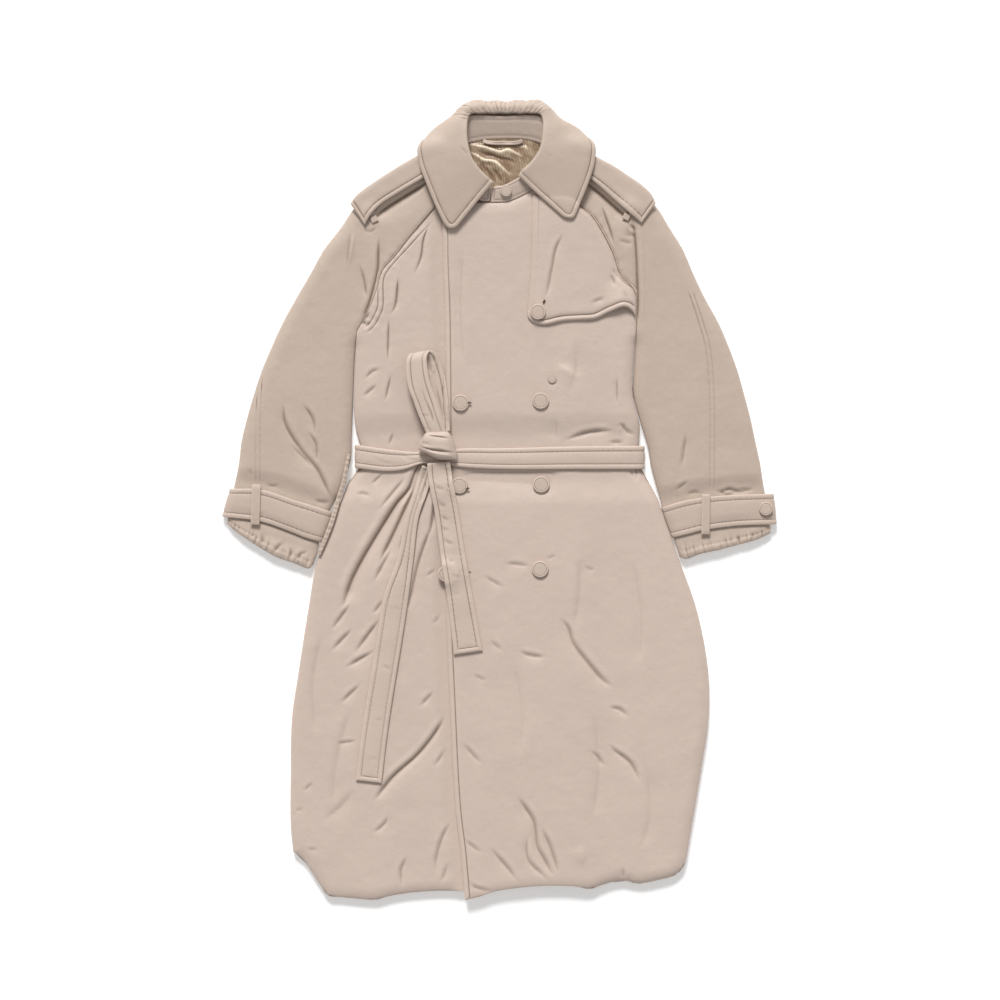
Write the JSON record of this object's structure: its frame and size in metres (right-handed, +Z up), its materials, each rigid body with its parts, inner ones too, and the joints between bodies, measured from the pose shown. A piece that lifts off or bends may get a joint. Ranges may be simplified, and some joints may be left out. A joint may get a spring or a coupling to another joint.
{
  "type": "trench coat",
  "caption": "Belted knee-length trench coat of padded cloth, laid flat with its front up: pointed collar, raglan sleeves, shoulder straps, storm flap, covered buttons and a tied belt.",
  "frame": {"origin": "centre of the bounding box in plan, on the surface that the coat's back lies on", "axes": "+Y runs up the coat from the hem to the collar, +Z is up from the surface, +X is towards the wearer's left sleeve"},
  "size_m": [0.8896, 1.2794, 0.044],
  "materials": {
    "shell_cloth": "smooth beige shell cloth with a soft sheen, over thin padding",
    "trim_cloth": "the same beige cloth, doubled and edge-stitched, for straps, stand and belt",
    "lining_satin": "glossy golden satin lining",
    "covered_button": "buttons covered in the shell cloth"
  },
  "bodies": {
    "root": {"back": "shell_cloth", "front_right": "shell_cloth", "front_left": "shell_cloth", "sleeve_right": "shell_cloth", "sleeve_left": "shell_cloth", "cuff_right": "shell_cloth", "cuff_left": "shell_cloth", "collar": "shell_cloth", "collar_stand": "trim_cloth", "lining": "lining_satin", "hanger_loop": "trim_cloth", "storm_flap": "shell_cloth", "epaulette_right": "trim_cloth", "epaulette_left": "trim_cloth", "shoulder_keeper_right": "trim_cloth", "shoulder_keeper_left": "trim_cloth", "belt": "trim_cloth", "belt_knot": "trim_cloth", "belt_bow": "trim_cloth", "belt_tail_long": "trim_cloth", "belt_tail_short": "trim_cloth", "cuff_strap_right": "trim_cloth", "cuff_strap_left": "trim_cloth", "cuff_keeper_right": "trim_cloth", "cuff_keeper_left": "trim_cloth", "button_upper_right": "covered_button", "button_upper_left": "covered_button", "button_middle_right": "covered_button", "button_middle_left": "covered_button", "button_lower_right": "covered_button", "button_lower_left": "covered_button", "button_inner_anchor": "covered_button", "button_flap": "covered_button", "button_stand": "covered_button", "button_cuff_left": "covered_button"}
  },
  "joints": []
}
